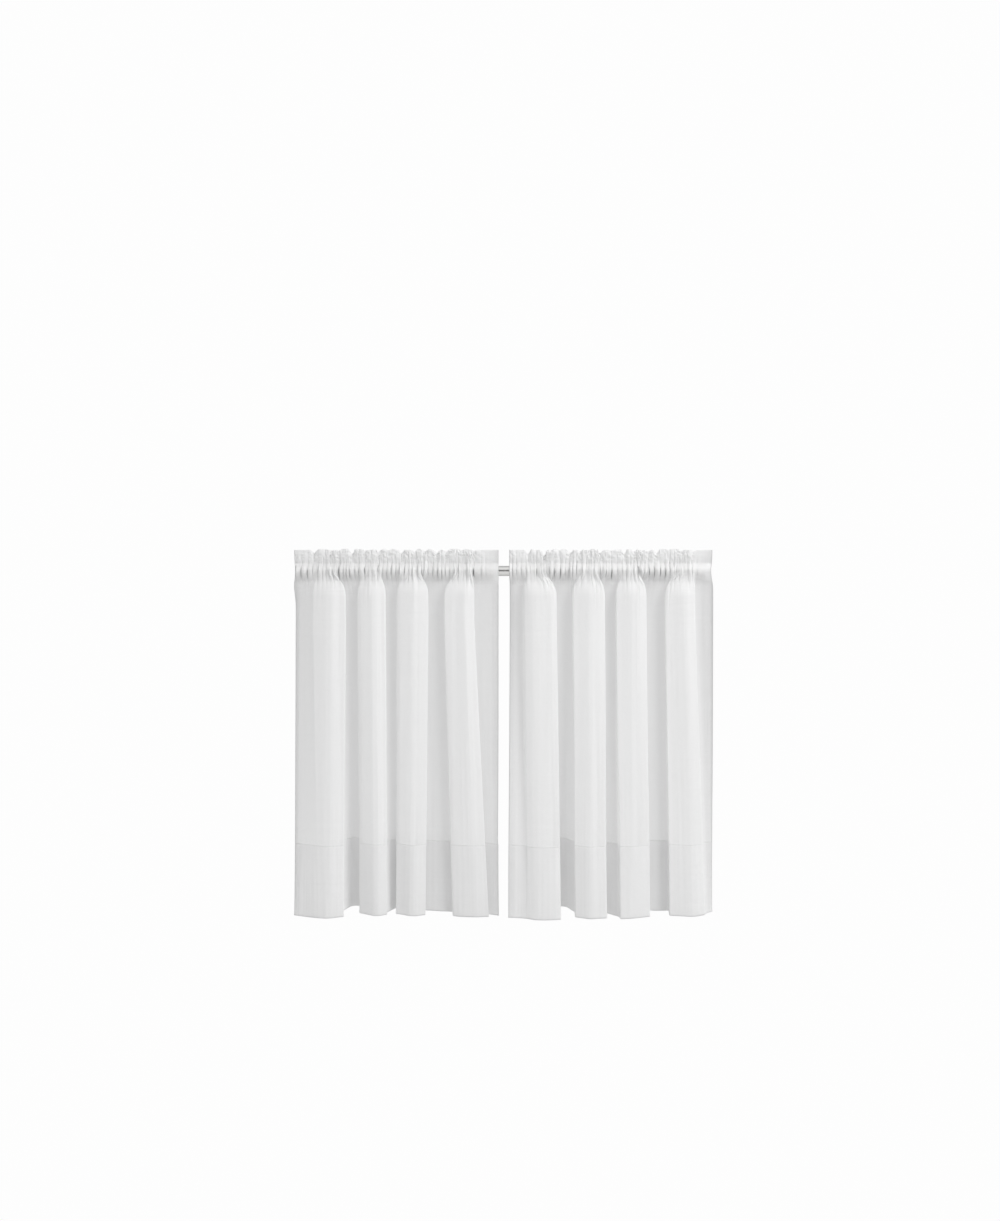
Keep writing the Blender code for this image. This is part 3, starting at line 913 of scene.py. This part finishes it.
def sew(name, lines, stitch_tree, settings):
    """The stitches along some lines, as a plain mesh object."""
    ends = np.cumsum([0] + [len(line) for line in lines])
    edges = [(i, i + 1) for a, b in zip(ends, ends[1:]) for i in range(a, b - 1)]
    mesh = bpy.data.meshes.new(name)
    mesh.from_pydata(np.concatenate(lines).tolist(), edges, [])
    stitching = add_object(name, mesh)
    rows = stitching.modifiers.new("rows of stitches", "NODES")
    rows.node_group = stitch_tree
    for socket in stitch_tree.interface.items_tree:
        if socket.name in settings:
            rows[socket.identifier] = settings[socket.name]
    made = stitching.evaluated_get(bpy.context.evaluated_depsgraph_get())
    sewn = bpy.data.meshes.new_from_object(made)
    stitching.modifiers.remove(rows)
    stitching.data = sewn
    sewn.shade_smooth()
    return stitching


thread, tree, shader, _ = new_material("white_thread")
feed(tree, shader, {"Base Color": THREAD_WHITE, "Roughness": THREAD_ROUGHNESS})
stitch_tree = make_stitch_tree()
settings = {"Stitch Pitch": STITCH_PITCH, "Stitch Length": STITCH_LENGTH,
            "Thread Width": THREAD_WIDTH, "Thread": thread}
for tier, cloth in zip(TIERS, cloths):
    stitching = sew(tier.name.replace("tier", "stitching"), sewn_lines(tier), stitch_tree, settings)
    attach(stitching, "root")

# ================================================================================================
# The studio
# A pale floor that sweeps up all round, soft light from every side with one large lamp to the
# right, and the camera where the picture was taken from.
# ================================================================================================
FRAME_WIDTH, FRAME_HEIGHT = 1000, 1221  # pixels
METRES_PER_PIXEL = 0.0025  # at the rod
CAMERA_DISTANCE = 2.0
HORIZON_ROW, ROD_ROW, MIDDLE_COLUMN = 535.5, 571.0, 503.2
SENSOR = 36

camera = add_object("camera", bpy.data.cameras.new("camera"))
camera.location = (0, -CAMERA_DISTANCE, (ROD_ROW - HORIZON_ROW) * METRES_PER_PIXEL)
camera.rotation_euler = (math.pi / 2, 0, 0)
camera.data.sensor_fit = "VERTICAL"
camera.data.sensor_height = SENSOR
camera.data.lens = SENSOR * CAMERA_DISTANCE / (FRAME_HEIGHT * METRES_PER_PIXEL)
camera.data.shift_x = (FRAME_WIDTH / 2 - MIDDLE_COLUMN) / FRAME_HEIGHT
camera.data.shift_y = (HORIZON_ROW - FRAME_HEIGHT / 2) / FRAME_HEIGHT
bpy.context.scene.camera = camera

# The light from all round: less of it from behind the curtain than from the room, and in bands
# from straight below, where up is 0, to straight above, where it is 1
WORLD_LEVEL = 1.06
BEHIND_LEVEL, ROOM_LEVEL = 0.64, 1.0
BEHIND_FROM, ROOM_FROM = 0.5, -0.4  # towards the back
Band = namedtuple("Band", "up level")
WORLD_BANDS = [Band(0.0, 0.72), Band(0.42, 0.8), Band(0.5, 0.7), Band(0.6, 0.68), Band(1.0, 0.82)]

# The dark card that the nickel mirrors, in front and behind: its soft edges start and end here
CARD_UP = 0.2
CARD_HALF_WIDE = (0.3, 0.5)
CARD_HALF_HIGH = (0.26, 0.36)
CARD_LEVEL = 0.14  # of the light that would come from there

world = bpy.data.worlds.new("studio")
world.use_nodes = True
bpy.context.scene.world = world
tree = world.node_tree
towards = add_node(tree, "ShaderNodeTexCoord").outputs["Generated"]
sides = add_node(tree, "ShaderNodeSeparateXYZ", {"Vector": towards}).outputs
from_room = ranged(tree, sides["Y"], BEHIND_FROM, ROOM_FROM, BEHIND_LEVEL, ROOM_LEVEL,
                   interpolation_type="SMOOTHSTEP")
bands = add_node(tree, "ShaderNodeValToRGB", {"Fac": ranged(tree, sides["Z"], -1.0, 1.0)})
ramp = bands.color_ramp
for band in WORLD_BANDS[1:-1]:
    ramp.elements.new(band.up)
for element, band in zip(ramp.elements, WORLD_BANDS):
    element.position = band.up
    element.color = (band.level, band.level, band.level, 1)
beside = ranged(tree, maths(tree, "ABSOLUTE", sides["X"]), *CARD_HALF_WIDE)
off_middle = maths(tree, "ABSOLUTE", maths(tree, "SUBTRACT", sides["Z"], CARD_UP))
over = ranged(tree, off_middle, *CARD_HALF_HIGH)
past_card = ranged(tree, maths(tree, "MAXIMUM", beside, over), 0.0, 1.0, CARD_LEVEL)
strength = maths(tree, "MULTIPLY", from_room, WORLD_LEVEL)
strength = maths(tree, "MULTIPLY", strength, past_card)
feed(tree, tree.nodes["Background"], {"Color": bands.outputs["Color"], "Strength": strength})

LAMP_SIZE = 2.2
LAMP_POWER = 130  # watts
LAMP_PLACE = (2.5, -2.2, 2.8)

lamp = add_object("key", bpy.data.lights.new("key", "AREA"))
lamp.data.shape = "DISK"
lamp.data.size = LAMP_SIZE
lamp.data.energy = LAMP_POWER
lamp.location = LAMP_PLACE
curtain_middle = (cad_box[0] + cad_box[1]) / 2
lamp.rotation_euler = (curtain_middle - lamp.location).to_track_quat("-Z", "Y").to_euler()

FLOOR_HEIGHT = -1.9
SWEEP_RADIUS = 3.2
SWEEP_TOP = 3.0
COVE_RADIUS = 1  # between the floor and the wall
COVE_STEPS = 15
ROUND_STEPS = 96
HUB_RADIUS = 0.01  # of the disc that closes the middle of the floor, and of the top
PAPER_GLOW = (0.985, 0.985, 0.985, 1)

cove_middle = SWEEP_RADIUS - COVE_RADIUS
profile = [(HUB_RADIUS, FLOOR_HEIGHT), (cove_middle, FLOOR_HEIGHT)]
for angle in np.linspace(0, math.pi / 2, COVE_STEPS + 1)[1:]:
    profile.append((cove_middle + COVE_RADIUS * math.sin(angle),
                    FLOOR_HEIGHT + COVE_RADIUS * (1 - math.cos(angle))))
profile += [(SWEEP_RADIUS, SWEEP_TOP), (HUB_RADIUS, SWEEP_TOP)]
angles = np.linspace(0, 2 * math.pi, ROUND_STEPS + 1)[:-1]
points = [(radius * math.cos(angle), radius * math.sin(angle), height)
          for radius, height in profile for angle in angles]
faces = [range(ROUND_STEPS), range(len(points) - ROUND_STEPS, len(points))]
for ring in range(0, len(points) - ROUND_STEPS, ROUND_STEPS):
    for step in range(ROUND_STEPS):
        here, beside = ring + step, ring + (step + 1) % ROUND_STEPS
        faces.append((here, beside, beside + ROUND_STEPS, here + ROUND_STEPS))

mesh = bpy.data.meshes.new("studio_floor")
mesh.from_pydata(points, [], faces)
mesh.shade_smooth()
floor = add_object("studio_floor", mesh)
paper, tree, _, output = new_material("paper")
glow = add_node(tree, "ShaderNodeEmission", {"Color": PAPER_GLOW, "Strength": 1.0})
feed(tree, output, {"Surface": glow.outputs["Emission"]})
mesh.materials.append(paper)
floor.visible_diffuse = False
floor.visible_glossy = False
floor.visible_transmission = False
floor.visible_shadow = False

bpy.context.scene.view_settings.view_transform = "Standard"
